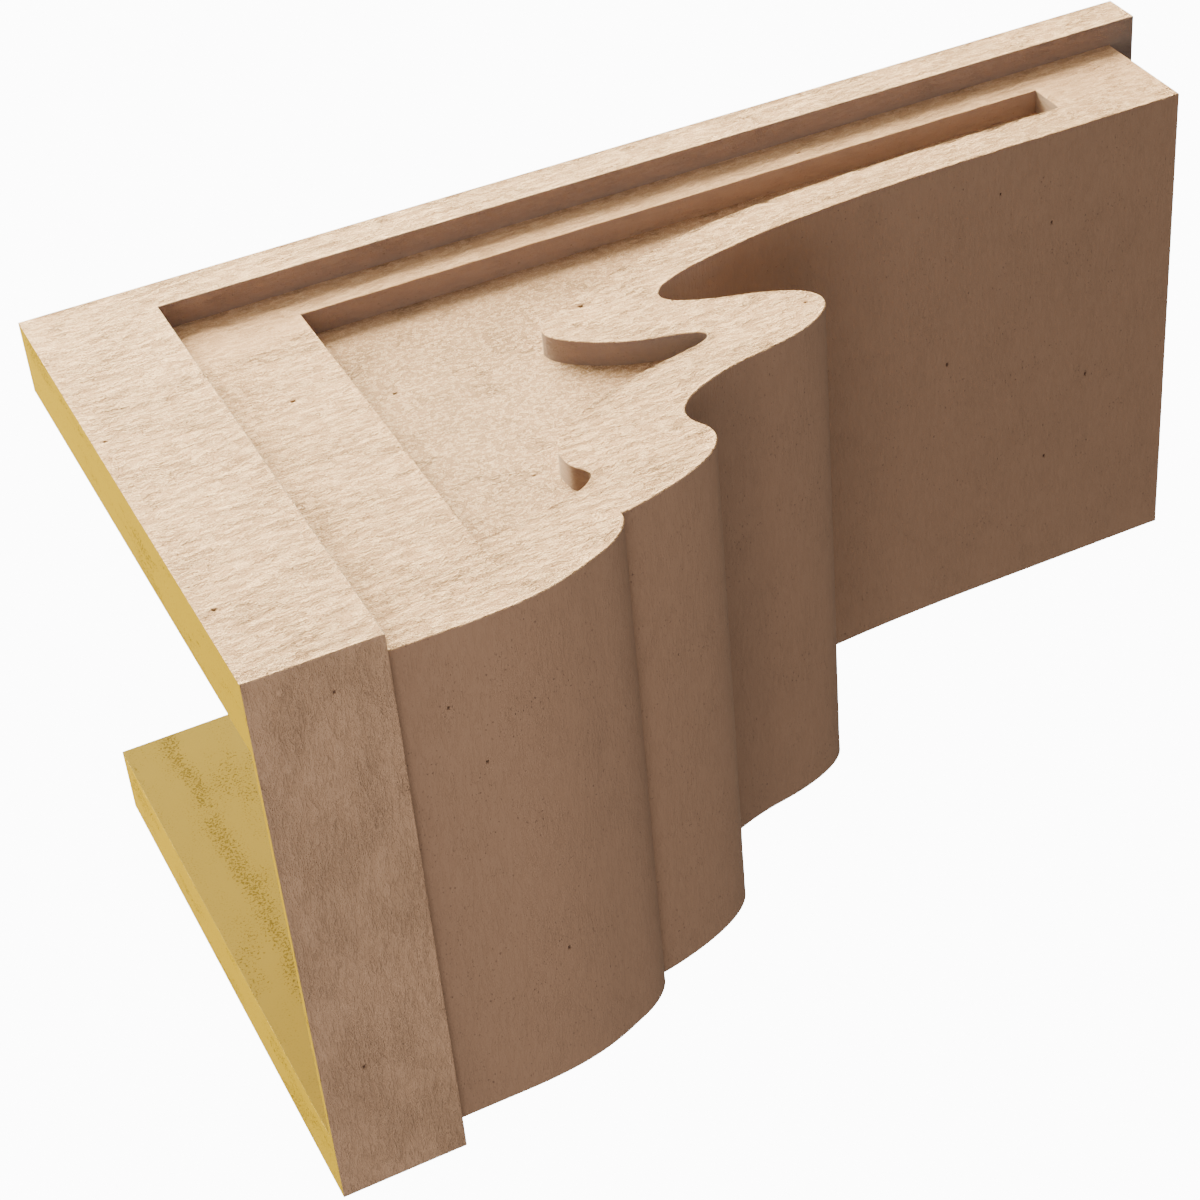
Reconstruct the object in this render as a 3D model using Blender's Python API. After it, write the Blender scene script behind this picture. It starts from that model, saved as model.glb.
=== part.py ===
# A corbel: square cap, backplate and scrolled front with sunk side panels, cast as one hollow piece.
# Outlines lie in the side view and are written as (out from the wall, down from the top).
import math

import bmesh
import bpy
from mathutils import Vector

# Driving dimensions, in millimetres
MM = 0.001
HEIGHT = 508.0
WIDTH = 254.0
DEPTH = 254.0
CAP_HEIGHT = 50.8
LEDGE = 18.15  # backplate thickness, and the width of each border beside the panel's foot
CHEEK_STEP = 10.8  # cheek behind the cap's side, and panel floor behind the cheek
FRONT_STEP = 4.2  # scrolled front behind the cap's face
FOOT_STEP = 12.7  # scroll's foot above the backplate's foot
FOOT_DEPTH = 4 * LEDGE
PANEL_MARGIN = 50.8  # panel's top below the cap, and its foot above the scroll's foot
SIDE_WALL = 31.75  # cast wall at both sides and at the foot
FRONT_WALL = 3.2  # front wall at the top rim
FOOT_WALL = 12.7  # front wall beside the foot
OVERRUN = 6.0  # how far a cutter runs past the surface it opens
TURN = math.radians(4.5)  # largest turn between neighbouring points of a curve

UP, DOWN, OUT, BACK = -90.0, 90.0, 0.0, 180.0

CHEEK = WIDTH / 2 - CHEEK_STEP
PANEL_TOP = CAP_HEIGHT + PANEL_MARGIN
SCROLL_FOOT = HEIGHT - FOOT_STEP
PANEL_FOOT = SCROLL_FOOT - PANEL_MARGIN
HOLLOW_FOOT = HEIGHT - SIDE_WALL
ORIGIN_DOWN = HEIGHT - SIDE_WALL / 2  # the foot wall's middle, where the back meets the wall

# Each node: out, down, heading in degrees from outwards towards down, reach before and after
FRONT = [
    (FOOT_DEPTH, SCROLL_FOOT, UP, 0, 0),
    (FOOT_DEPTH, 392.5, UP, 0, 37),
    (80.5, 274.5, -79, 32, 15),
    (99.5, 228.5, OUT, 10.5, 6.5),  # top of the deep hollow
    (113, 249, 72, 7.5, 9),
    (134, 282.5, OUT, 11.5, 14),  # tip of the nose
    (156, 243.5, -82, 12, 16),
    (179.5, 200, OUT, 13, 6),  # top of the shallow hollow
    (192.5, 204, OUT, 6, 18.5),  # bead
    (221, 152.5, -84, 8, 0),  # quirk under the ovolo
    (221, 152.5, OUT, 0, 6.5),
    (238, 136.5, -67, 9, 14),
    (DEPTH - FRONT_STEP, 80, UP, 32.5, 0),
    (DEPTH - FRONT_STEP, CAP_HEIGHT / 2, UP, 0, 0),
    (LEDGE / 2, CAP_HEIGHT / 2, BACK, 0, 0),
    (LEDGE / 2, SCROLL_FOOT, DOWN, 0, 0),
]

PANEL = [
    (2 * LEDGE, PANEL_TOP, DOWN, 0, 0),
    (2 * LEDGE, PANEL_FOOT, OUT, 0, 0),
    (3 * LEDGE, PANEL_FOOT, UP, 0, 0),
    (3 * LEDGE, 385, UP, 0, 38),
    (61.5, 262, -80, 40, 22),
    (99, 177.5, OUT, 13, 10),
    (123.5, 206, 70, 10, 9),
    (134, 231.5, OUT, 4.5, 4.5),  # tip of the pointed recess
    (143, 203, -78, 12, 20),
    (178, 148.5, OUT, 17, 5),
    (192.5, 153, OUT, 5, 6),
    (203, 138, -79, 8, 12),
    (209, PANEL_TOP, -82, 12, 0),
]

# The hollow is plainer than the front: it opens at the back and at the top
HOLLOW = [
    (-OVERRUN, -OVERRUN, OUT, 0, 0),
    (DEPTH - FRONT_WALL, -OVERRUN, DOWN, 0, 0),
    (DEPTH - FRONT_WALL, 0, 93, 0, 60),
    (208, 142, 135, 30, 20),
    (150, 184, BACK, 28, 30),
    (84, 214, 122, 26, 20),
    (FOOT_DEPTH - FOOT_WALL, 300, DOWN, 45, 0),
    (FOOT_DEPTH - FOOT_WALL, HOLLOW_FOOT, BACK, 0, 0),
    (-OVERRUN, HOLLOW_FOOT, UP, 0, 0),
]

# Backplate and cap together, as seen from the side
FRAME = [
    (0, 0, OUT, 0, 0),
    (DEPTH, 0, DOWN, 0, 0),
    (DEPTH, CAP_HEIGHT, BACK, 0, 0),
    (LEDGE, CAP_HEIGHT, DOWN, 0, 0),
    (LEDGE, HEIGHT, BACK, 0, 0),
    (0, HEIGHT, UP, 0, 0),
]


def heading_vector(degrees):
    angle = math.radians(degrees)
    return Vector((math.cos(angle), math.sin(angle)))


def curve_between(start, end):
    """Points from one node up to the next, close enough together to look round."""
    a, b = Vector(start[:2]), Vector(end[:2])
    reach_out, reach_in = start[4], end[3]
    if reach_out == 0 and reach_in == 0:
        return [a]
    c = a + reach_out * heading_vector(start[2])
    d = b - reach_in * heading_vector(end[2])
    turning = sum(u.angle(v, 0.0) for u, v in ((c - a, d - c), (d - c, b - d)) if u.length and v.length)
    count = max(3, math.ceil(turning / TURN))
    points = []
    for i in range(count):
        t = i / count
        s = 1 - t
        points.append(s ** 3 * a + 3 * t * s * s * c + 3 * t * t * s * d + t ** 3 * b)
    return points


def outline(nodes):
    """A closed outline through the nodes, with repeated points left out."""
    points = []
    for start, end in zip(nodes, nodes[1:] + nodes[:1]):
        for point in curve_between(start, end):
            if not points or (point - points[-1]).length > 1e-6:
                points.append(point)
    return points


def prism(name, nodes, low_x, high_x):
    """A solid of the outline's shape that runs from low_x to high_x."""
    mesh = bpy.data.meshes.new(name)
    bm = bmesh.new()
    ring = [bm.verts.new((low_x * MM, -out * MM, -down * MM)) for out, down in outline(nodes)]
    side = bm.faces.new(ring)
    grown = bmesh.ops.extrude_face_region(bm, geom=[side])["geom"]
    moved = [item for item in grown if isinstance(item, bmesh.types.BMVert)]
    bmesh.ops.translate(bm, verts=moved, vec=((high_x - low_x) * MM, 0, 0))
    bmesh.ops.recalc_face_normals(bm, faces=bm.faces)
    bm.to_mesh(mesh)
    bm.free()
    solid = bpy.data.objects.new(name, mesh)
    solid.location.z = ORIGIN_DOWN * MM
    bpy.context.scene.collection.objects.link(solid)
    return solid


def combine(body, other, operation):
    """Adds a shape to the body or takes it away, and keeps the shape as a hidden guide."""
    other.hide_render = True
    other.display_type = "WIRE"
    step = body.modifiers.new(other.name, "BOOLEAN")
    step.operation = operation
    step.solver = "EXACT"
    step.object = other


def cast_material():
    """The tan faux-wood face of the casting."""
    material = bpy.data.materials.new("faux wood skin")
    material.use_nodes = True
    shader = material.node_tree.nodes["Principled BSDF"]
    shader.inputs["Base Color"].default_value = (0.62, 0.47, 0.35, 1)
    shader.inputs["Roughness"].default_value = 0.75
    shader.inputs["Metallic"].default_value = 0
    return material


def build_corbel():
    corbel = prism("corbel", FRAME, -WIDTH / 2, WIDTH / 2)
    combine(corbel, prism("scroll", FRONT, -CHEEK, CHEEK), "UNION")
    combine(corbel, prism("hollow", HOLLOW, SIDE_WALL - WIDTH / 2, WIDTH / 2 - SIDE_WALL), "DIFFERENCE")
    floor = CHEEK - CHEEK_STEP
    combine(corbel, prism("panel_right", PANEL, floor, CHEEK + OVERRUN), "DIFFERENCE")
    combine(corbel, prism("panel_left", PANEL, -CHEEK - OVERRUN, -floor), "DIFFERENCE")
    corbel.data.materials.append(cast_material())
    corbel.data.shade_smooth()
    corbel.data.set_sharp_from_angle(angle=math.radians(30))
    return corbel


for item in list(bpy.data.objects):
    bpy.data.objects.remove(item, do_unlink=True)
build_corbel()
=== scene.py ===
import math
import random

import bmesh
import bpy
import numpy as np
from mathutils import Matrix, Vector
from mathutils.geometry import delaunay_2d_cdt
from mathutils.kdtree import KDTree


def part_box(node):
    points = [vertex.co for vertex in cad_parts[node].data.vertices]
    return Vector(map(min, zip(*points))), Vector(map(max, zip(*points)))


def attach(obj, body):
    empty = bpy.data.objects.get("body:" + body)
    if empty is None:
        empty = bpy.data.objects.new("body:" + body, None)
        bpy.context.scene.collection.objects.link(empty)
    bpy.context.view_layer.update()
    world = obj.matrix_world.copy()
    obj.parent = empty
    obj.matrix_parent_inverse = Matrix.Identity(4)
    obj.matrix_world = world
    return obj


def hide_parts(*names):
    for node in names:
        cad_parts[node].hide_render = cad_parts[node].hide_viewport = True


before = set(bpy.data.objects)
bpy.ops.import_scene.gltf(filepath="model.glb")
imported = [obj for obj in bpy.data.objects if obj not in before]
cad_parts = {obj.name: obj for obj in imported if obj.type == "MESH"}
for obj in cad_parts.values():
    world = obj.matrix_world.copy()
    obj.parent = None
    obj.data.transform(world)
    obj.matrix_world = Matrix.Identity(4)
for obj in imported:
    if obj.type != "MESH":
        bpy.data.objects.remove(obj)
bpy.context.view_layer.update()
castLow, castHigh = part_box("corbel")
mm = 0.001

# The casting's own sizes. Its overall width, depth and height come from the corbel part in model.glb.
casting = {
    "ledge": 18.15 * mm,        # backplate thickness, and each border beside the panel's foot
    "cheekStep": 10.8 * mm,     # cheek behind the cap's side, and panel floor behind the cheek
    "frontStep": 4.2 * mm,      # scrolled front behind the cap's face
    "capHeight": 50.8 * mm,
    "footStep": 12.7 * mm,      # scroll's foot above the backplate's foot
    "panelMargin": 50.8 * mm,
    "sideWall": 31.75 * mm,
    "frontWall": 3.2 * mm,      # at the top rim
    "footWall": 12.7 * mm,
    "arris": 0.35 * mm,         # flat worn on the skin's outer edges
}
# Mesh spacing of each finish: across the grain, along the grain
meshing = {
    "edge": 2.5 * mm,
    "sawn": (1.15 * mm, 3.8 * mm),
    "planed": (2.0 * mm, 6.5 * mm),
    "lined": (1.8 * mm, 4.0 * mm),
    "foam": (6.0 * mm, 6.0 * mm),
    "turn": math.radians(6),    # largest turn from one row of points to the next
    "clear": 0.6,               # spacings that the inner points keep from an edge
    "probe": 0.2,               # spacings between the places where an edge is looked for
    "weld": 0.02 * mm,          # points that are closer than this become one
    "arrisAngle": math.radians(30),     # edges that turn by more are worn
    "sharpAngle": math.radians(32),     # edges that turn by more are shaded sharp
    "grainShift": (0.37, 0.73),         # of the grain, in metres, from each surface to the next
}
# Relief in the mesh. The finer tooth is in the skin's bump.
relief = {
    "Ridge Height": 0.5 * mm,
    "Ridge Width": 3.0 * mm,
    "Ridge Length": 13.0 * mm,
    "Waver": 1.6 * mm,
    "Waver Length": 22.0 * mm,
    "Swell Height": 0.3 * mm,
    "Swell Size": 24.0 * mm,
}
reliefSeed = 4.0                # another value moves every ridge and swell
# Air-bubble pits. Those on the right side and the front: across, along, in millimetres.
pitting = {
    "radius": 1.0 * mm,
    "depth": 1.5 * mm,
    "seed": 41,
    "sizes": (0.65, 1.0),       # smallest and largest, as shares of the radius
    "wander": ((-4, 4), (-15, 3)),      # how far those of the left side stand from these
    "fromTop": 12.0,            # the least that those are below the top
    # rings of points that make a pit: radii from its middle, points, share of the depth
    "rings": ((0.0, 1, 1.0), (0.55, 6, 0.8), (1.0, 8, 0.1), (1.6, 8, 0.0)),
    "clear": 2.6,               # radii around its middle without other inner points
    "plate": [(211.6, 6.2), (96.3, 4.7), (9.6, 105.3)],
    "cheek": [(89.2, 198.9), (133.6, 275.4), (91.8, 77.5), (28.5, 330.0)],
    "floor": [(169.7, 140.8), (92.3, 117.4)],
    "cap": [(30.6, 110.3), (17.0, -64.0)],
    "ovolo": [(81.3, 53.2), (70.0, 83.0), (104.0, -52.0)],
    "leg": [(430.5, 71.6), (429.4, -53.0), (404.0, 94.0), (377.0, 16.0), (451.0, -15.0)],
}

width = castHigh.x - castLow.x
depth = castHigh.y - castLow.y
height = castHigh.z - castLow.z
sideX = width / 2
cheekX = sideX - casting["cheekStep"]
floorX = cheekX - casting["cheekStep"]
innerX = sideX - casting["sideWall"]
capFoot = casting["capHeight"]
ledge = casting["ledge"]
faceOut = depth - casting["frontStep"]
footOut = 4 * ledge
scrollFoot = height - casting["footStep"]
panelTop = capFoot + casting["panelMargin"]
panelFoot = scrollFoot - casting["panelMargin"]
hollowFoot = height - casting["sideWall"]
hollowOut = depth - casting["frontWall"]
heelOut = footOut - casting["footWall"]

up, down, out, back = -90.0, 90.0, 0.0, 180.0


def node(outward, downward, heading, before=0.0, after=0.0):
    # a point of an outline: out from the wall and down from the top, heading in degrees, and how
    # far the curve follows that heading before and after it, in millimetres
    return (outward, downward, heading, before * mm, after * mm)


scrollNodes = [
    node(footOut, scrollFoot, up),
    node(footOut, 392.5 * mm, up, 0, 37),
    node(80.5 * mm, 274.5 * mm, -79, 32, 15),
    node(99.5 * mm, 228.5 * mm, out, 10.5, 6.5),    # top of the deep hollow
    node(113 * mm, 249 * mm, 72, 7.5, 9),
    node(134 * mm, 282.5 * mm, out, 11.5, 14),      # tip of the nose
    node(156 * mm, 243.5 * mm, -82, 12, 16),
    node(179.5 * mm, 200 * mm, out, 13, 6),         # top of the shallow hollow
    node(192.5 * mm, 204 * mm, out, 6, 18.5),       # bead
    node(221 * mm, 152.5 * mm, -84, 8, 0),          # quirk under the ovolo
]
ovoloNodes = [
    node(221 * mm, 152.5 * mm, out, 0, 6.5),
    node(238 * mm, 136.5 * mm, -67, 9, 14),
    node(faceOut, 80 * mm, up, 32.5, 0),
    node(faceOut, capFoot, up),
]
panelNodes = [
    node(3 * ledge, panelFoot, up),
    node(3 * ledge, 385 * mm, up, 0, 38),
    node(61.5 * mm, 262 * mm, -80, 40, 22),
    node(99 * mm, 177.5 * mm, out, 13, 10),
    node(123.5 * mm, 206 * mm, 70, 10, 9),
    node(134 * mm, 231.5 * mm, out, 4.5, 4.5),      # tip of the pointed recess
    node(143 * mm, 203 * mm, -78, 12, 20),
    node(178 * mm, 148.6 * mm, out, 17, 6),
    node(188.3 * mm, 151 * mm, 38, 3, 2.4),
    node(193.4 * mm, 153.5 * mm, 8, 1.6, 1.3),      # tip of the small hook
    node(200.2 * mm, 146.3 * mm, -67, 4.4, 5),
    node(204.6 * mm, 130 * mm, -80, 6, 9),
    node(209 * mm, panelTop, -82, 12, 0),
]
hollowNodes = [
    node(hollowOut, 0, 93, 0, 60),
    node(208 * mm, 142 * mm, 135, 30, 20),
    node(150 * mm, 184 * mm, back, 28, 30),
    node(84 * mm, 214 * mm, 122, 26, 20),
    node(heelOut, 300 * mm, down, 45, 0),
    node(heelOut, hollowFoot, down),
]


def headingVector(degrees):
    angle = math.radians(degrees)
    return np.array([math.cos(angle), math.sin(angle)])


def straight(start, end, step=meshing["edge"]):
    # evenly spaced points from start up to, but not including, end
    start, end = np.array(start, float), np.array(end, float)
    count = max(1, round(np.linalg.norm(end - start) / step))
    return [start + (end - start) * i / count for i in range(count)]


def curve(start, end, step):
    # a cubic from one node to the next, with more points where it turns
    a, b = np.array(start[:2], float), np.array(end[:2], float)
    c = a + start[4] * headingVector(start[2])
    d = b - end[3] * headingVector(end[2])
    t = np.linspace(0, 1, 241)[:, None]
    s = 1 - t
    fine = s ** 3 * a + 3 * t * s * s * c + 3 * t * t * s * d + t ** 3 * b
    runs = np.diff(fine, axis=0)
    angles = np.unwrap(np.arctan2(runs[:, 1], runs[:, 0]))
    turns = np.abs(np.diff(angles, prepend=angles[0]))
    cost = np.maximum(np.linalg.norm(runs, axis=1) / step, turns / meshing["turn"])
    cost = np.concatenate([[0], np.cumsum(cost)])
    count = max(3, math.ceil(cost[-1]))
    stops = np.arange(count) * cost[-1] / count
    return list(np.stack([np.interp(stops, cost, fine[:, k]) for k in (0, 1)], 1))


def chain(nodes, step):
    # an open outline through the nodes, with its last point
    points = []
    for start, end in zip(nodes, nodes[1:]):
        plain = start[4] == 0 and end[3] == 0
        points += straight(start[:2], end[:2], step) if plain else curve(start, end, step)
    return points + [np.array(nodes[-1][:2], float)]


def ring(*corners):
    # a closed polygon with its edges split evenly
    points = []
    for start, end in zip(corners, corners[1:] + corners[:1]):
        points += straight(start, end)
    return points


def crossings(loops, across):
    # where the line at this place across meets the loops, in order
    starts = np.concatenate([np.array(loop) for loop in loops])
    ends = np.concatenate([np.roll(np.array(loop), -1, axis=0) for loop in loops])
    met = (starts[:, 0] > across) != (ends[:, 0] > across)
    starts, ends = starts[met], ends[met]
    share = (across - starts[:, 0]) / (ends[:, 0] - starts[:, 0])
    return np.sort(starts[:, 1] + share * (ends[:, 1] - starts[:, 1]))


def edgeTree(loops):
    # a search tree of places close together along the loops
    places = []
    for loop in loops:
        for start, end in zip(loop, np.roll(loop, -1, axis=0)):
            count = max(1, math.ceil(np.linalg.norm(end - start) / meshing["probe"]))
            places += [start + (end - start) * i / count for i in range(count)]
    tree = KDTree(len(places))
    for i, place in enumerate(places):
        tree.insert((place[0], place[1], 0), i)
    tree.balance()
    return tree


def fill(loops, rows, toRow, spacing, pits):
    # Triangles inside loops of (across, along), drawn out along the grain. rows are the places
    # across the grain where inner points stand, and toRow turns a place into a count of rows.
    scaled = [np.stack([toRow(np.array(loop)[:, 0]), np.array(loop)[:, 1] / spacing], 1) for loop in loops]
    edgePoints = np.concatenate(scaled)
    nearEdge = edgeTree(scaled)
    lattice = []
    for i, row in enumerate(toRow(rows)):
        met = crossings(scaled, row)
        for low, high in zip(met[::2], met[1::2]):
            places = np.arange(math.ceil(low * 2) / 2 + (i % 2) / 2, high, 1.0)
            lattice += [(row, p) for p in places if nearEdge.find((row, p, 0))[2] > meshing["clear"]]
    lattice = np.array(lattice)
    pitPoints, pitDepths = np.zeros((0, 2)), []
    for across, along, radius in pits:
        # a dish of rings, in place of the inner points around it
        clear = pitting["clear"] * radius
        reach = toRow(np.array([across - clear, across + clear]))
        near = (lattice[:, 0] > reach[0]) & (lattice[:, 0] < reach[1])
        near &= np.abs(lattice[:, 1] * spacing - along) < clear
        lattice = lattice[~near]
        for share, count, sunk in pitting["rings"]:
            turn = 2 * math.pi * (np.arange(count) + share) / count
            spots = np.stack([toRow(across + share * radius * np.cos(turn)),
                              (along + share * radius * np.sin(turn)) / spacing], 1)
            pitPoints = np.concatenate([pitPoints, spots])
            pitDepths += [sunk * radius / pitting["radius"]] * count
    points = np.concatenate([edgePoints, lattice, pitPoints])
    sinks = np.concatenate([np.zeros(len(edgePoints) + len(lattice)), pitDepths])
    edges, first = [], 0
    for loop in scaled:
        edges += [(first + i, first + (i + 1) % len(loop)) for i in range(len(loop))]
        first += len(loop)
    made = delaunay_2d_cdt([Vector(p) for p in points], edges, [], 0, 1e-7)
    spots = np.array([tuple(v) for v in made[0]])
    faces = np.array(made[2])
    sources = np.array([min(s) for s in made[3]])
    onEdge = sources < len(edgePoints)
    closed = {frozenset(edge) for edge, source in zip(made[1], made[4]) if source}
    kept = insideFaces(faces, onEdge, closed)
    return spots, faces[kept], sinks[sources], onEdge


def insideFaces(faces, onEdge, closed):
    # Which triangles lie inside: those with an inner point, and all that can be reached from
    # them without crossing an edge of the outline.
    sides = [[frozenset((int(f[i]), int(f[i - 1]))) for i in range(3)] for f in faces]
    beside = {}
    for face, own in enumerate(sides):
        for side in own:
            beside.setdefault(side, []).append(face)
    kept = [not onEdge[face].all() for face in faces]
    waiting = [face for face, inside in enumerate(kept) if inside]
    while waiting:
        for side in sides[waiting.pop()]:
            for face in beside[side] if side not in closed else ():
                if not kept[face]:
                    kept[face] = True
                    waiting.append(face)
    return kept


class Shell:
    # gathers the casting's surfaces until they are joined into one mesh

    def __init__(self):
        self.points, self.grains, self.inner, self.sinks = [], [], [], []
        self.faces, self.patches, self.finishes = [], [], []

    def add(self, points, grains, faces, finish, sinks, onEdge):
        first, patch = len(self.points), len(self.finishes)
        self.points += [(x, -outward, castHigh.z - downward) for x, outward, downward in points]
        shiftAcross, shiftAlong = [patch * shift for shift in meshing["grainShift"]]
        self.grains += [(across + shiftAcross, along + shiftAlong) for across, along in grains]
        self.sinks += list(sinks)
        self.inner += [0.0 if edge else 1.0 for edge in onEdge]
        self.faces += [tuple(int(v) + first for v in face) for face in faces]
        self.patches += [patch] * len(faces)
        self.finishes.append(finish)

    def flat(self, loops, place, finish, pits=()):
        # a flat surface. place turns (across, along) into (x, out, down).
        acrossStep, alongStep = meshing[finish["mesh"]]
        across = np.concatenate([np.array(loop)[:, 0] for loop in loops])
        rows = np.arange(across.min() + acrossStep / 2, across.max(), acrossStep)
        spots, faces, sinks, onEdge = fill(loops, rows, lambda a: a / acrossStep, alongStep, pits)
        grains = spots * (acrossStep, alongStep)
        self.add([place(*g) for g in grains], grains, faces, finish, sinks, onEdge)

    def bent(self, profile, halfWidth, finish, pits=()):
        # a surface that runs from side to side along an outline. A pit is (down, x).
        alongStep = meshing[finish["mesh"]][1]
        profile = np.array(profile)
        lengths = np.linalg.norm(np.diff(profile, axis=0), axis=1)
        runs = np.concatenate([[0], np.cumsum(lengths)])
        counts = np.arange(len(runs), dtype=float)
        toRow = lambda a: np.interp(a, runs, counts)
        ends = straight((0, -halfWidth), (0, halfWidth))
        loop = ends + [np.array([run, halfWidth]) for run in runs]
        loop += [np.array([runs[-1], -end[1]]) for end in ends[1:]]
        loop += [np.array([run, -halfWidth]) for run in runs[:0:-1]]
        byDown = np.argsort(profile[:, 1])
        places = [(np.interp(d, profile[byDown, 1], runs[byDown]), x, radius) for d, x, radius in pits]
        spots, faces, sinks, onEdge = fill([loop], runs[1:-1], toRow, alongStep, places)
        across = np.interp(spots[:, 0], counts, runs)
        along = spots[:, 1] * alongStep
        outward = np.interp(spots[:, 0], counts, profile[:, 0])
        downward = np.interp(spots[:, 0], counts, profile[:, 1])
        points = list(zip(along, outward, downward))
        self.add(points, list(zip(across, along)), faces, finish, sinks, onEdge)

    def wall(self, loop, low, high, finish):
        # a wall that stands along a closed outline, from x = low to x = high
        ticks = np.linspace(low, high, max(2, round(abs(high - low) / meshing[finish["mesh"]][0]) + 1))
        closed = np.array(loop + loop[:1])
        runs = np.concatenate([[0], np.cumsum(np.linalg.norm(np.diff(closed, axis=0), axis=1))])
        count = len(ticks)
        points = [(tick, p[0], p[1]) for p in closed for tick in ticks]
        grains = [(tick, run) for run in runs for tick in ticks]
        onEdge = [j in (0, count - 1) for _ in runs for j in range(count)]
        faces = [(i * count + j, i * count + j + 1, (i + 1) * count + j + 1, (i + 1) * count + j)
                 for i in range(len(runs) - 1) for j in range(count - 1)]
        self.add(points, grains, faces, finish, [0.0] * len(points), onEdge)

    def mesh(self, name):
        mesh = bpy.data.meshes.new(name)
        mesh.from_pydata(self.points, [], self.faces)
        uv = mesh.uv_layers.new(name="grain")
        corners = np.zeros(len(mesh.loops), np.int32)
        mesh.loops.foreach_get("vertex_index", corners)
        uv.uv.foreach_set("vector", np.array(self.grains, np.float32)[corners].ravel())
        facts = {
            "inner": ("FLOAT", "POINT", self.inner),
            "sink": ("FLOAT", "POINT", self.sinks),
            "patch": ("INT", "FACE", self.patches),
        }
        for fact in finishFacts[1:]:
            facts[fact] = ("FLOAT", "FACE", [self.finishes[p][fact] for p in self.patches])
        for fact, (kind, domain, values) in facts.items():
            mesh.attributes.new(fact, kind, domain).data.foreach_set("value", values)
        bm = bmesh.new()
        bm.from_mesh(mesh)
        bmesh.ops.remove_doubles(bm, verts=bm.verts, dist=meshing["weld"])
        bmesh.ops.recalc_face_normals(bm, faces=bm.faces)
        patch = bm.faces.layers.int["patch"]
        weight = bm.edges.layers.float.new("bevel_weight_edge")
        for edge in bm.edges:
            sides = edge.link_faces
            if len(sides) != 2 or sides[0][patch] == sides[1][patch]:
                continue
            cut = any(self.finishes[side[patch]]["foam"] for side in sides)
            if not cut and edge.calc_face_angle_signed() > meshing["arrisAngle"]:
                edge[weight] = 1.0
        openEdges = sum(not edge.is_manifold for edge in bm.edges)
        bm.to_mesh(mesh)
        bm.free()
        print("shell:", len(mesh.vertices), "points,", len(mesh.polygons), "faces,", openEdges, "open edges")
        return mesh


# Finishes: mesh spacing, depth of the ridges, depth of the finer tooth, how far its colours differ, how long
# it is drawn out, how many specks, how much painted shade makes it darker than the sides (paler below zero:
# painted light; on foam it picks the hollow's shaded colour), and whether it is bare foam
finishFacts = ("mesh", "sawn", "tooth", "fleck", "drawn", "speck", "shade", "foam")
finishTable = {
    "sawnSide": ("sawn", 1.0, 1.0, 1.0, 1.0, 0.0, 0.0, 0.0),
    "sunkFloor": ("sawn", 0.3, 0.7, 1.25, 0.5, 0.0, 0.25, 0.0),
    "capFace": ("sawn", 0.6, 1.05, 0.12, 1.4, 0.2, -0.17, 0.0),
    "scrollFace": ("planed", 0.25, 0.25, 0.1, 1.6, 1.0, 0.42, 0.0),
    "linedWall": ("lined", 0.35, 0.5, 0.45, 1.8, 0.8, 0.7, 0.0),
    "rawFoam": ("foam", 0.0, 0.0, 0.0, 1.0, 1.0, 0.0, 1.0),
    "hollowFoam": ("foam", 0.0, 0.0, 0.0, 1.0, 0.6, 1.0, 1.0),
}
finishes = {name: dict(zip(finishFacts, row)) for name, row in finishTable.items()}


def pitsOf(part, rng, mirrored=False):
    # the listed pits, or as many others for the side that the list doesn't hold
    pits = []
    for across, along in pitting[part]:
        if mirrored:
            wanderAcross, wanderAlong = pitting["wander"]
            across, along = across + rng.uniform(*wanderAcross), along + rng.uniform(*wanderAlong)
            along = max(along, pitting["fromTop"])
        pits.append((across * mm, along * mm, pitting["radius"] * rng.uniform(*pitting["sizes"])))
    return pits


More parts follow.
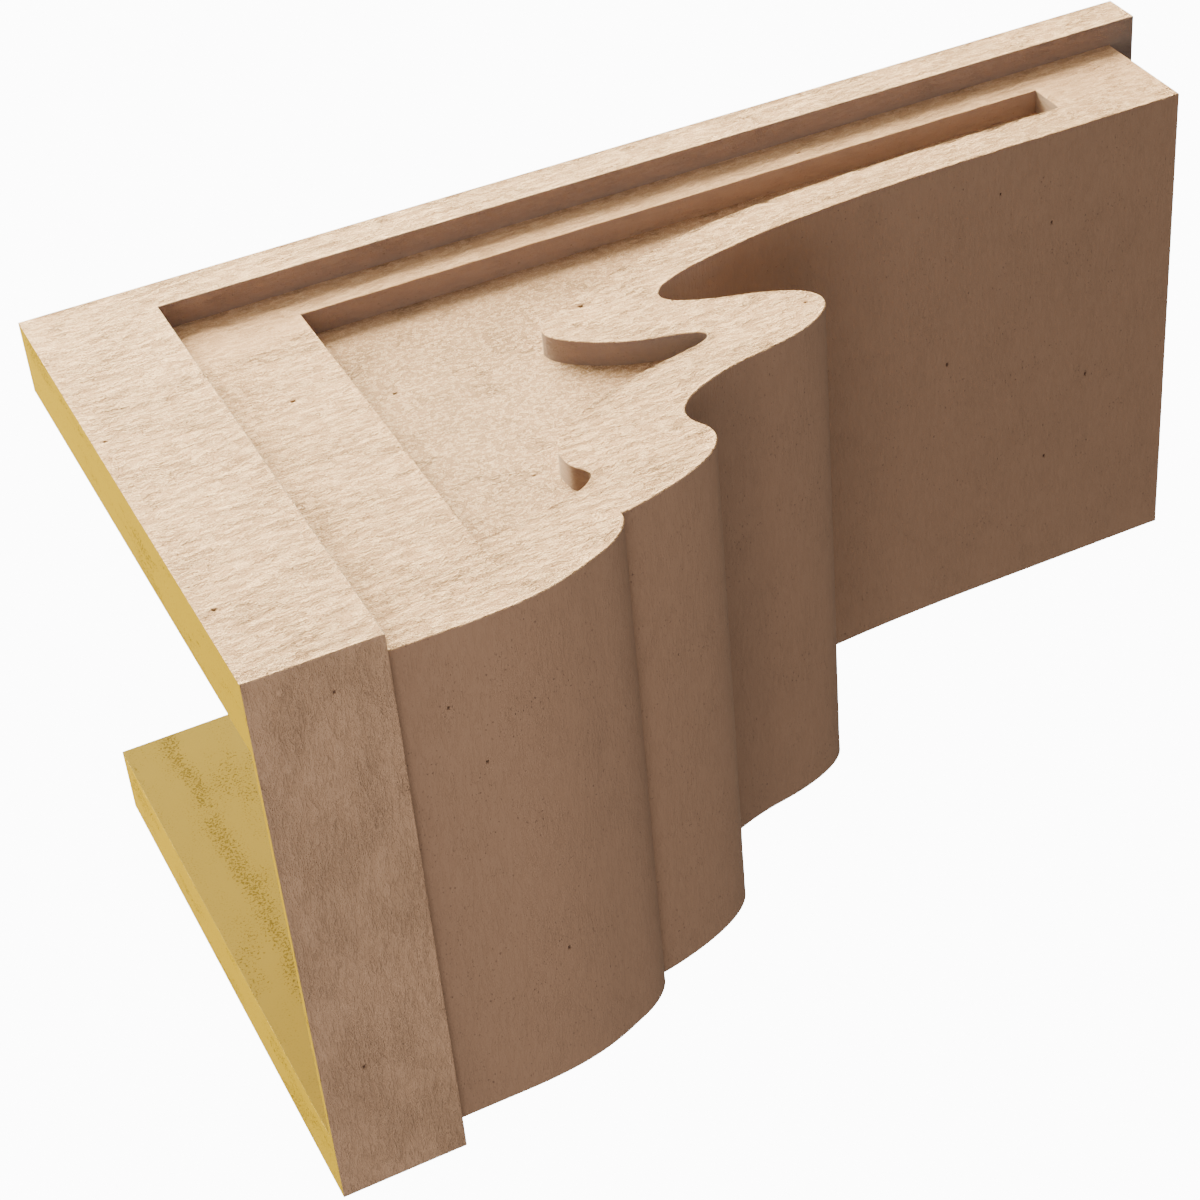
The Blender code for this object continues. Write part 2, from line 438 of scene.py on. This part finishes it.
def makeShell():
    shell = Shell()
    rng = random.Random(pitting["seed"])
    rowStep = meshing["planed"][0]
    scroll, ovolo = chain(scrollNodes, rowStep), chain(ovoloNodes, rowStep)
    hollowCurve = chain(hollowNodes, meshing["foam"][0])
    panelLoop = chain(panelNodes, meshing["edge"])[:-1]
    panelLoop += straight(panelNodes[-1][:2], (2 * ledge, panelTop))
    panelLoop += straight((2 * ledge, panelTop), (2 * ledge, panelFoot))
    panelLoop += straight((2 * ledge, panelFoot), (3 * ledge, panelFoot))
    cheekLoop = scroll[:-1] + ovolo[:-1]
    cheekLoop += straight((faceOut, capFoot), (ledge, capFoot))
    cheekLoop += straight((ledge, capFoot), (ledge, scrollFoot))
    cheekLoop += straight((ledge, scrollFoot), (footOut, scrollFoot))
    hollowLoop = hollowCurve[:-1]
    hollowLoop += straight((heelOut, hollowFoot), (0, hollowFoot))
    hollowLoop += straight((0, hollowFoot), (0, 0))
    hollowLoop += straight((0, 0), (hollowOut, 0))
    plateLoop = ring((0, 0), (depth, 0), (depth, capFoot), (ledge, capFoot), (ledge, height), (0, height))

    for side in (1, -1):
        mirrored = side < 0
        plane = lambda x: lambda across, along: (side * x, across, along)
        sawn, floor = finishes["sawnSide"], finishes["sunkFloor"]
        shell.flat([plateLoop], plane(sideX), sawn, pitsOf("plate", rng, mirrored))
        shell.flat([cheekLoop, panelLoop], plane(cheekX), sawn, pitsOf("cheek", rng, mirrored))
        shell.flat([panelLoop], plane(floorX), floor, pitsOf("floor", rng, mirrored))
        shell.wall(panelLoop, side * floorX, side * cheekX, finishes["linedWall"])
        shell.flat([hollowLoop], plane(innerX), finishes["hollowFoam"])

    shell.bent(scroll, cheekX, finishes["scrollFace"], pitsOf("leg", rng))
    shell.bent(ovolo, cheekX, finishes["scrollFace"], pitsOf("ovolo", rng))
    shell.bent(hollowCurve, innerX, finishes["hollowFoam"])
    capFace = ring((0, -sideX), (capFoot, -sideX), (capFoot, sideX), (0, sideX))
    inFront = lambda across, along: (along, depth, across)
    shell.flat([capFace], inFront, finishes["capFace"], pitsOf("cap", rng))

    def bracket(outerX, start, end, innerHalf, innerEnd):
        # a U round an opening: (x, distance)
        return ring((-outerX, start), (-outerX, end), (outerX, end), (outerX, start), (innerHalf, start),
                    (innerHalf, innerEnd), (-innerHalf, innerEnd), (-innerHalf, start))

    level = lambda downward: lambda across, along: (across, along, downward)
    facing = lambda outward: lambda across, along: (across, outward, along)
    lined, foam = finishes["linedWall"], finishes["rawFoam"]
    shell.flat([bracket(sideX, ledge, depth, cheekX, faceOut)], level(capFoot), lined)
    shell.flat([bracket(sideX, capFoot, height, cheekX, scrollFoot)], facing(ledge), lined)
    shell.flat([bracket(sideX, 0, depth, innerX, hollowOut)], level(0), foam)
    shell.flat([bracket(sideX, 0, height, innerX, hollowFoot)], facing(0), foam)
    endOn = lambda downward: lambda across, along: (along, across, downward)
    block = ring((ledge, -cheekX), (footOut, -cheekX), (footOut, cheekX), (ledge, cheekX))
    shell.flat([block], endOn(scrollFoot), lined)
    plateEnd = ring((0, -sideX), (ledge, -sideX), (ledge, sideX), (0, sideX))
    shell.flat([plateEnd], endOn(height), lined)
    hollowFloor = ring((0, -innerX), (heelOut, -innerX), (heelOut, innerX), (0, innerX))
    shell.flat([hollowFloor], endOn(hollowFoot), finishes["hollowFoam"])
    return shell


class Reading:
    # a value on its way through a node tree; sums on it add Math nodes

    def __init__(self, sheet, socket):
        self.sheet, self.socket = sheet, socket

    def sum(self, operation, *others):
        values = {0: self, **{i + 1: other for i, other in enumerate(others)}}
        return self.sheet.read("ShaderNodeMath", {"operation": operation}, values)

    def __add__(self, other):
        return self.sum("ADD", other)

    def __sub__(self, other):
        return self.sum("SUBTRACT", other)

    def __mul__(self, other):
        return self.sum("MULTIPLY", other)

    def __truediv__(self, other):
        return self.sum("DIVIDE", other)

    def __rsub__(self, other):
        return self.sheet.read("ShaderNodeMath", {"operation": "SUBTRACT"}, {0: other, 1: self})

    def __rtruediv__(self, other):
        return self.sheet.read("ShaderNodeMath", {"operation": "DIVIDE"}, {0: other, 1: self})

    __radd__, __rmul__ = __add__, __mul__

    def __abs__(self):
        return self.sum("ABSOLUTE")

    def step(self, low, high):
        # 0 below low and 1 above high, smooth between; the other way round if low is the larger
        settings = {"interpolation_type": "SMOOTHSTEP", "clamp": True}
        values = {"Value": self, 1: low, 2: high, 3: 0.0, 4: 1.0}
        return self.sheet.read("ShaderNodeMapRange", settings, values)


class Sheet:
    # a node tree that is being drawn up

    def __init__(self, tree):
        self.tree = tree
        self.count = 0

    def add(self, kind, settings=None, values=None):
        made = self.tree.nodes.new(kind)
        made.location = (self.count // 6 * 190, -(self.count % 6) * 190)
        self.count += 1
        for name, setting in (settings or {}).items():
            setattr(made, name, setting)
        for key, value in (values or {}).items():
            socket = made.inputs[key]
            if isinstance(value, Reading):
                value = value.socket
            if isinstance(value, bpy.types.NodeSocket):
                self.tree.links.new(value, socket)
            else:
                socket.default_value = value
        return made

    def read(self, kind, settings=None, values=None, output=0):
        return Reading(self, self.add(kind, settings, values).outputs[output])

    def noise(self, vector, detail=2.0, roughness=0.55):
        values = {"Vector": vector, "Scale": 1.0, "Detail": detail, "Roughness": roughness}
        return self.read("ShaderNodeTexNoise", {"noise_dimensions": "3D"}, values, "Fac")

    def place(self, x, y, z=0.0):
        return self.read("ShaderNodeCombineXYZ", None, {0: x, 1: y, 2: z})

    def blend(self, factor, first, second):
        # a colour between two
        return self.read("ShaderNodeMix", {"data_type": "RGBA"}, {0: factor, 6: first, 7: second}, 2)


def grainOf(sheet, vector):
    apart = sheet.add("ShaderNodeSeparateXYZ", None, {0: vector})
    return Reading(sheet, apart.outputs[0]), Reading(sheet, apart.outputs[1])


def sawnRelief():
    # Geometry Nodes: ridges along the grain, broad swells and pits, pressed into the skin
    tree = bpy.data.node_groups.new("sawnRelief", "GeometryNodeTree")
    socket = tree.interface.new_socket
    socket(name="Casting", in_out="INPUT", socket_type="NodeSocketGeometry")
    for name in relief:
        socket(name=name, in_out="INPUT", socket_type="NodeSocketFloat")
    socket(name="Pit Depth", in_out="INPUT", socket_type="NodeSocketFloat")
    socket(name="Seed", in_out="INPUT", socket_type="NodeSocketFloat")
    socket(name="Skin", in_out="INPUT", socket_type="NodeSocketMaterial")
    socket(name="Foam", in_out="INPUT", socket_type="NodeSocketMaterial")
    socket(name="Casting", in_out="OUTPUT", socket_type="NodeSocketGeometry")
    sheet = Sheet(tree)
    given = sheet.add("NodeGroupInput")
    size = {name: Reading(sheet, given.outputs[name]) for name in [*relief, "Pit Depth", "Seed"]}

    def stored(name, kind="FLOAT"):
        return sheet.read("GeometryNodeInputNamedAttribute", {"data_type": kind}, {"Name": name})

    across, along = grainOf(sheet, stored("grain", "FLOAT_VECTOR"))
    inner, sink, sawn, isFoam = stored("inner"), stored("sink"), stored("sawn"), stored("foam")
    waverAt = sheet.place(across / size["Waver Length"], along / size["Waver Length"], size["Seed"])
    waver = (sheet.noise(waverAt, 1.0) - 0.5) * size["Waver"] * 2.0
    ridgeAcross, ridgeAlong = (across + waver) / size["Ridge Width"], along / size["Ridge Length"]
    ridge = sheet.noise(sheet.place(ridgeAcross, ridgeAlong, size["Seed"] + 7.0), 1.5, 0.5).step(0.3, 0.7)
    swellAt = sheet.place(across / size["Swell Size"], along / size["Swell Size"], size["Seed"] + 19.0)
    swell = sheet.noise(swellAt, 1.0)
    valley = (1.0 - ridge) * inner
    pressed = (valley * size["Ridge Height"] + (1.0 - swell) * inner * size["Swell Height"]) * sawn
    deep = pressed + sink * size["Pit Depth"]
    normal = sheet.read("GeometryNodeInputNormal")
    offset = sheet.read("ShaderNodeVectorMath", {"operation": "SCALE"}, {0: normal, "Scale": deep * -1.0})
    shaped = sheet.read("GeometryNodeSetPosition", None,
                        {"Geometry": given.outputs["Casting"], "Offset": offset})
    marked = sheet.read("GeometryNodeStoreNamedAttribute", {"data_type": "FLOAT", "domain": "POINT"},
                        {"Geometry": shaped, "Name": "valley", "Value": valley * sawn})
    realized = sheet.read("GeometryNodeRealizeInstances", None, {"Geometry": marked})
    coated = sheet.read("GeometryNodeSetMaterial", None,
                        {"Geometry": realized, "Material": given.outputs["Skin"]})
    bare = sheet.read("FunctionNodeCompare", {"data_type": "FLOAT", "operation": "GREATER_THAN"},
                      {"A": isFoam, "B": 0.5})
    finished = sheet.read("GeometryNodeSetMaterial", None,
                          {"Geometry": coated, "Selection": bare, "Material": given.outputs["Foam"]})
    sheet.add("NodeGroupOutput", None, {"Casting": finished})
    return tree


perMetre = 1000.0               # millimetres, which the looks are given in
# Skin: colours and the tooth that is too fine for the mesh
skinLook = {
    "tone": (0.48, 0.272, 0.16, 1),
    "pale": (0.74, 0.485, 0.32, 1),
    "dark": (0.19, 0.095, 0.042, 1),
    # the next two colours are painted shade: one for faces darker than the sides, a greyer one for the walls
    "paintedShade": (0.13, 0.078, 0.058, 1),
    "wallPaintedShade": (0.215, 0.162, 0.143, 1),
    "sootAndPaintedShade": (0.05, 0.026, 0.017, 1),
    "waver": 0.9,               # how far the grain wanders
    # sizes across and along the grain
    "waverSize": (13.0, 15.0),
    "ridge": (1.8, 6.5),
    "shred": (0.8, 2.0),
    "fleck": (0.5, 0.85),
    "crumb": (0.65, 0.65),
    "patch": (22.0, 40.0),      # of rougher skin
    "parted": (7.0, 15.0),      # where the grain is torn
    "crack": (3.6, 13.0),
    "torn": (14.0, 20.0),       # where the cracks are
    "speck": (0.9, 1.7),
    "gather": (17.0, 17.0),     # where the specks are
    # shares of the tooth, whose middle height is toothMiddle
    "toothShares": {"ridge": 0.25, "lip": 0.2, "shred": 0.55, "crumb": 0.9},
    "toothMiddle": 0.95,
    "toothHeight": 1.25 * mm,
    # how deep each mark is beside the tooth, and how strongly each colours the skin
    "dips": {"fleck": 0.15, "tear": 0.12, "crack": 0.45, "speck": 0.2},
    "colours": {"high": 0.8, "low": 0.2, "fleck": 0.45, "tear": 0.5, "valley": 0.15, "crack": 0.65,
                "speck": 0.5, "pit": 0.6},
    # out from the wall: smooth up to here, rough from here on; then how much smoother and plainer
    "corner": (40.0, 62.0, 0.65, 0.5),
    # painted shade round a line along x: out from the wall, down from the top, how far it is whole and how
    # far it reaches, how much
    "gatheredSpecksAndShade": [(99.5, 228.5, 12.0, 76.0, 0.27), (130.0, 224.0, 12.0, 40.0, 0.08)],
    "paintedHookShade": [(191.5, 151.5, 4.0, 11.0, 0.62)],
    "roughness": 0.82,
    "specular": 0.25,
}
foamLook = {
    "tone": (0.31, 0.197, 0.014, 1),
    "pale": (0.325, 0.208, 0.017, 1),
    # the hollow's faces: a paler, bluer copy of the foam colour for where they lie in shade, more so deeper
    # down; painted light
    "hollow": (0.37, 0.252, 0.056, 1),
    "deep": (0.43, 0.315, 0.12, 1),
    "dark": (0.035, 0.016, 0.006, 1),
    "cellHeight": 0.12 * mm,
    # sizes along X, Y and Z
    "cell": (1.15, 1.15, 1.15),
    "fine": (0.8, 0.8, 0.8),
    "apart": (11.0, 40.0, 18.0),        # where cells gather away from the streak
    "faint": (9.0, 24.0, 9.0),
    # below the top, half its width, how far and over what length it wavers, and where it is broken
    "streak": {"down": 20.0, "half": 8.0, "waver": 12.0, "waverLength": 26.0, "gapLength": 34.0},
    "deepens": (40.0, 120.0),           # how far below the top the hollow's colour turns paler
    "roughness": 1.0,
    "specular": 0.0,
}


def newMaterial(name):
    material = bpy.data.materials.new(name)
    material.use_nodes = True
    material.node_tree.nodes.clear()
    return material, Sheet(material.node_tree)


def attribute(sheet, name):
    return sheet.read("ShaderNodeAttribute", {"attribute_name": name}, None, "Fac")


def finishMaterial(sheet, look, colour, normal):
    values = {"Base Color": colour, "Roughness": look["roughness"], "Normal": normal,
              "Specular IOR Level": look["specular"]}
    shader = sheet.add("ShaderNodeBsdfPrincipled", None, values)
    sheet.add("ShaderNodeOutputMaterial", None, {"Surface": shader.outputs["BSDF"]})


def skinMaterial():
    material, sheet = newMaterial("fauxWoodSkin")
    look = skinLook
    grain = sheet.read("ShaderNodeUVMap", {"uv_map": "grain"})
    acrossM, alongM = grainOf(sheet, grain)
    across, along = acrossM * perMetre, alongM * perMetre
    deep, speckled, drawn = attribute(sheet, "tooth"), attribute(sheet, "speck"), attribute(sheet, "drawn")
    valley, pit, shade = attribute(sheet, "valley"), attribute(sheet, "sink"), attribute(sheet, "shade")
    flecked = attribute(sheet, "fleck")
    spot = sheet.read("ShaderNodeTexCoord", None, None, "Object")
    spotXYZ = sheet.add("ShaderNodeSeparateXYZ", None, {0: spot})
    spotX, spotY, spotZ = [Reading(sheet, spotXYZ.outputs[i]) * perMetre for i in range(3)]
    # smoother in the corners beside the backplate's step, but not on the backplate's own side
    near, far, smoother, plainer = look["corner"]
    onCheek = abs(spotX).step(sideX * perMetre - 5.0, cheekX * perMetre + 1.8)
    corner = (0.0 - spotY).step(far, near) * onCheek
    flecked = flecked * (1.0 - corner * plainer)

    def field(name, seed, acrossAt, alongAt, detail=1.0, roughness=0.55):
        # noise as large as the look gives under this name; each has a seed of its own
        acrossSize, alongSize = look[name]
        return sheet.noise(sheet.place(acrossAt / acrossSize, alongAt / alongSize, seed), detail, roughness)

    waver = (field("waverSize", 3.0, across, along, 2.0) - 0.5) * (2 * look["waver"])
    wavy, drawnOut = across + waver, along / drawn
    ridge = field("ridge", 11.0, wavy, drawnOut, 3.0, 0.65)
    shred = field("shred", 29.0, wavy, drawnOut, 2.0, 0.6)
    crumb = field("crumb", 47.0, across, along, 2.0, 0.65)
    patch = field("patch", 5.0, across, along)
    rough = (0.6 + 0.4 * patch.step(0.4, 0.62)) * (1.0 - corner * smoother)
    lip = ridge.step(0.43, 0.53)            # torn edges, steeper than the ridges between them
    share, middleTooth = look["toothShares"], look["toothMiddle"]
    tooth = ridge * share["ridge"] + lip * share["lip"] + shred * share["shred"] + crumb * share["crumb"]
    high, low = (tooth - middleTooth).step(0.0, 0.26), (middleTooth - tooth).step(0.0, 0.3)
    fleck = field("fleck", 53.0, wavy, drawnOut, 1.0, 0.5).step(0.55, 0.66)
    # thin lines where the grain is torn, here and there, and a few longer cracks
    parted = field("parted", 97.0, across, along).step(0.48, 0.6)
    tear = abs(ridge - 0.46).step(0.042, 0.01) * (0.4 + 0.6 * parted)
    crackLine = abs(field("crack", 61.0, wavy, along, 3.0, 0.6) - 0.5)
    torn = field("torn", 71.0, across, along).step(0.55, 0.66)
    crack = crackLine.step(0.028, 0.006) * torn * flecked
    # dark specks on the smoother faces
    gather = field("gather", 89.0, across, along).step(0.35, 0.7)
    speck = field("speck", 83.0, across, along, 1.0, 0.5).step(0.66, 0.74) * gather * speckled
    # painted shade: a darker colour around the deep hollow and the pointed recess, where shade falls
    held = shade.step(0.25, 0.4)

    def paintedShadeAround(outward, downward, near, far, amount):
        awayY, awayZ = spotY + outward, spotZ - (castHigh.z * perMetre - downward)
        return (awayY * awayY + awayZ * awayZ).sum("SQRT").step(far, near) * held * amount

    for paintedShade in look["gatheredSpecksAndShade"]:
        shade = shade + paintedShadeAround(*paintedShade)

    paint, dip = look["colours"], look["dips"]
    # paler on the raised tooth: a painted highlight
    tone = sheet.blend(high * paint["high"] * flecked, look["tone"], look["pale"])
    # below zero the share is painted light: the face is made paler
    tone = sheet.blend(0.0 - shade, tone, look["pale"])
    # darker in the tooth's low parts, a painted shade, and at flecks and tears, the grain's own marks
    marks = low * paint["low"] + fleck * paint["fleck"] + tear * paint["tear"]
    tone = sheet.blend(marks * flecked, tone, look["dark"])
    # darker in the mesh's valleys: painted shade
    tone = sheet.blend(valley * paint["valley"], tone, look["dark"])
    tone = sheet.blend(crack * paint["crack"], tone, look["dark"])
    # painted shade: each finish's share darkens it towards these colours, the walls towards the greyer one
    paintedShadeTone = sheet.blend(shade.step(0.5, 0.7), look["paintedShade"], look["wallPaintedShade"])
    tone = sheet.blend(shade, tone, paintedShadeTone)
    # painted shade, near black, in the panel's small hook
    for paintedShade in look["paintedHookShade"]:
        tone = sheet.blend(paintedShadeAround(*paintedShade), tone, look["sootAndPaintedShade"])
    tone = sheet.blend(speck * paint["speck"], tone, look["sootAndPaintedShade"])
    # painted shade in each pit's dish
    tone = sheet.blend(pit.step(0.05, 0.5) * paint["pit"], tone, look["sootAndPaintedShade"])

    height = ((tooth - fleck * dip["fleck"]) * rough - tear * dip["tear"]) * deep
    height = height - crack * dip["crack"] - speck * dip["speck"]
    values = {"Strength": 1.0, "Distance": look["toothHeight"], "Height": height}
    bump = sheet.read("ShaderNodeBump", None, values, "Normal")
    finishMaterial(sheet, look, tone, bump)
    return material


def foamMaterial():
    material, sheet = newMaterial("rawFoam")
    look = foamLook
    spot = sheet.read("ShaderNodeTexCoord", None, None, "Object")
    apartXYZ = sheet.add("ShaderNodeSeparateXYZ", None, {0: spot})
    x, y, z = [Reading(sheet, apartXYZ.outputs[i]) * perMetre for i in range(3)]

    def field(name, detail, roughness):
        # noise as large as the look gives under this name
        sizeX, sizeY, sizeZ = look[name]
        return sheet.noise(sheet.place(x / sizeX, y / sizeY, z / sizeZ), detail, roughness)

    # cells that show as dark specks: a streak of them just below the top, and others here and there
    cells = field("cell", 3.0, 0.75)
    line = look["streak"]
    waver = sheet.noise(sheet.place(y / line["waverLength"], 7.0), 2.0, 0.6) - 0.5
    below = castHigh.z * perMetre - z
    streak = abs(below - line["down"] + waver * line["waver"]).step(line["half"], 1.0)
    streak = streak * sheet.noise(sheet.place(y / line["gapLength"], 31.0), 1.0).step(0.2, 0.38)
    apart = field("apart", 2.0, 0.6).step(0.48, 0.66)
    gatheredSpecksAndShade = streak + apart * (1.0 - streak) * 0.7
    speck = (cells + gatheredSpecksAndShade * 0.14).step(0.64, 0.69) * gatheredSpecksAndShade.step(0.0, 0.4) * attribute(sheet, "speck")
    faint = field("faint", 2.0, 0.5)
    tone = sheet.blend(faint, look["tone"], look["pale"])
    # the hollow's shaded faces take that copy of the foam colour: painted light
    inside = attribute(sheet, "shade")
    hollowTone = sheet.blend(below.step(*look["deepens"]), look["hollow"], look["deep"])
    tone = sheet.blend(inside, tone, hollowTone)
    tone = sheet.blend(speck * 0.9, tone, look["dark"])
    fine = field("fine", 2.0, 0.6)
    tone = sheet.blend(fine.step(0.54, 0.7) * faint.step(0.3, 0.6) * 0.4, tone, look["dark"])
    values = {"Strength": 1.0, "Distance": look["cellHeight"], "Height": fine * 0.5 - speck}
    bump = sheet.read("ShaderNodeBump", None, values, "Normal")
    finishMaterial(sheet, look, tone, bump)
    return material


def makeCasting():
    mesh = makeShell().mesh("corbelCasting")
    corbel = bpy.data.objects.new("corbelCasting", mesh)
    bpy.context.scene.collection.objects.link(corbel)
    bevel = corbel.modifiers.new("arris", "BEVEL")
    bevel.limit_method = "WEIGHT"
    bevel.offset_type = "OFFSET"
    bevel.width = casting["arris"]
    bevel.segments = 1
    bevel.use_clamp_overlap = False
    skin, foam = skinMaterial(), foamMaterial()
    tree = sawnRelief()
    modifier = corbel.modifiers.new("sawnRelief", "NODES")
    modifier.node_group = tree
    values = {**relief, "Pit Depth": pitting["depth"], "Seed": reliefSeed, "Skin": skin, "Foam": foam}
    sockets = {s.name: s.identifier for s in tree.interface.items_tree if s.in_out == "INPUT"}
    for name, value in values.items():
        modifier[sockets[name]] = value
    graph = bpy.context.evaluated_depsgraph_get()
    evaluated = corbel.evaluated_get(graph)
    plain = bpy.data.meshes.new_from_object(evaluated, preserve_all_data_layers=True, depsgraph=graph)
    corbel.modifiers.clear()
    corbel.data = plain
    plain.name = "corbelCasting"
    plain.shade_smooth()
    plain.set_sharp_from_angle(angle=meshing["sharpAngle"])
    plain.calc_loop_triangles()
    print("casting:", len(plain.vertices), "points,", len(plain.loop_triangles), "triangles,",
          [m.name for m in plain.materials])
    return corbel


body = makeCasting()
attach(body, "root")
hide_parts("corbel")

# Studio: soft boxes given by direction from the object's middle, distance, size, power and colour
studio = {
    "key": ((1.0, 2.3, 0.5), 2.0, 2.2, 760.0, (1.0, 0.985, 0.68)),
    "side": ((1.0, 0.6, 0.3), 2.0, 2.2, 50.0, (1.0, 0.985, 0.7)),
    "end": ((0.1, -0.3, 1.0), 1.9, 1.3, 6.0, (1.0, 0.96, 0.8)),
    "front": ((0.17, -0.85, 0.51), 0.92, 0.5, 3.0, (1.0, 0.99, 0.97)),
    "behind": ((-0.9, 0.5, 0.1), 2.0, 1.6, 105.0, (1.0, 0.96, 0.6)),
    "ambient": (0.42, 0.415, 0.40, 1),
    "backdrop": (12.0, 12.0, 12.0, 1),
    "scrim": (0.29, 0.29, 0.29, 1),
    "scrimIn": 0.1 * mm,        # how far inside the opening it hangs
    "floorDrop": 1.1,
    "floorSize": 60.0,
}
middle = (castLow + castHigh) / 2


def softBox(name, direction, distance, size, power, colour):
    light = bpy.data.lights.new(name, "AREA")
    light.shape = "SQUARE"
    light.size = size
    light.energy = power
    light.color = colour
    lamp = bpy.data.objects.new(name, light)
    towards = Vector(direction).normalized()
    lamp.location = middle + distance * towards
    lamp.rotation_euler = towards.to_track_quat("Z", "Y").to_euler()
    lamp.visible_camera = False
    bpy.context.scene.collection.objects.link(lamp)


for name in ("key", "side", "end", "front", "behind"):
    softBox(name + "Light", *studio[name])

world = bpy.data.worlds.new("studio")
bpy.context.scene.world = world
world.use_nodes = True
world.node_tree.nodes.clear()
sky = Sheet(world.node_tree)
ambient = sky.add("ShaderNodeBackground", None, {"Color": studio["ambient"]})
backdrop = sky.add("ShaderNodeBackground", None, {"Color": studio["backdrop"]})
seen = sky.read("ShaderNodeLightPath", None, None, "Is Camera Ray")
both = sky.add("ShaderNodeMixShader", None, {0: seen, 1: ambient.outputs[0], 2: backdrop.outputs[0]})
sky.add("ShaderNodeOutputWorld", None, {"Surface": both.outputs[0]})


def stagePiece(name, points, faces, kind, colour):
    # set dressing: a flat shape of one plain shader
    material, paint = newMaterial(name)
    shader = paint.add(kind, None, {"Color": colour})
    paint.add("ShaderNodeOutputMaterial", None, {"Surface": shader.outputs[0]})
    mesh = bpy.data.meshes.new(name)
    mesh.from_pydata(points, [], faces)
    mesh.materials.append(material)
    piece = bpy.data.objects.new(name, mesh)
    bpy.context.scene.collection.objects.link(piece)
    return piece


half = studio["floorSize"] / 2
floorZ = castLow.z - studio["floorDrop"]
corners = [(-half, -half, floorZ), (half, -half, floorZ), (half, half, floorZ), (-half, half, floorZ)]
floor = stagePiece("floor", corners, [(0, 1, 2, 3)], "ShaderNodeEmission", studio["backdrop"])
floor.visible_diffuse = False
floor.visible_glossy = False
floor.visible_shadow = False

# A scrim just inside the open back and top holds the key light back from the hollow
scrimIn = studio["scrimIn"]
topZ, footZ = castHigh.z - scrimIn, castHigh.z - hollowFoot
bends = ((-scrimIn, footZ), (-scrimIn, topZ), (-hollowOut, topZ))
corners = [(side * innerX, y, z) for y, z in bends for side in (-1, 1)]
faces = [(0, 1, 3, 2), (2, 3, 5, 4)]
scrim = stagePiece("scrim", corners, faces, "ShaderNodeBsdfTransparent", studio["scrim"])
scrim.visible_camera = False
print("studio ready")

# Camera: where the photograph was taken from, worked out from the object's edges in it
cameraView = {
    "place": (0.695495, -0.945507, 0.645345),
    "right": (-0.041913, -0.472749, -0.880200),
    "up": (0.793924, 0.519085, -0.316601),
    "ahead": (-0.606571, 0.712081, -0.353570),
    "lens": 82.86,
    "sensor": 36.0,
    "shift": (-0.13383, -0.04218),      # the object stands left of and above the lens axis
}
lens = bpy.data.cameras.new("photoCamera")
lens.sensor_width = cameraView["sensor"]
lens.lens = cameraView["lens"]
lens.shift_x, lens.shift_y = cameraView["shift"]
lens.clip_end = 100.0
camera = bpy.data.objects.new("photoCamera", lens)
behind = -Vector(cameraView["ahead"])
turn = Matrix((cameraView["right"], cameraView["up"], behind)).transposed()
camera.matrix_world = Matrix.Translation(cameraView["place"]) @ turn.to_4x4()
bpy.context.scene.collection.objects.link(camera)
bpy.context.scene.camera = camera
print("camera ready")
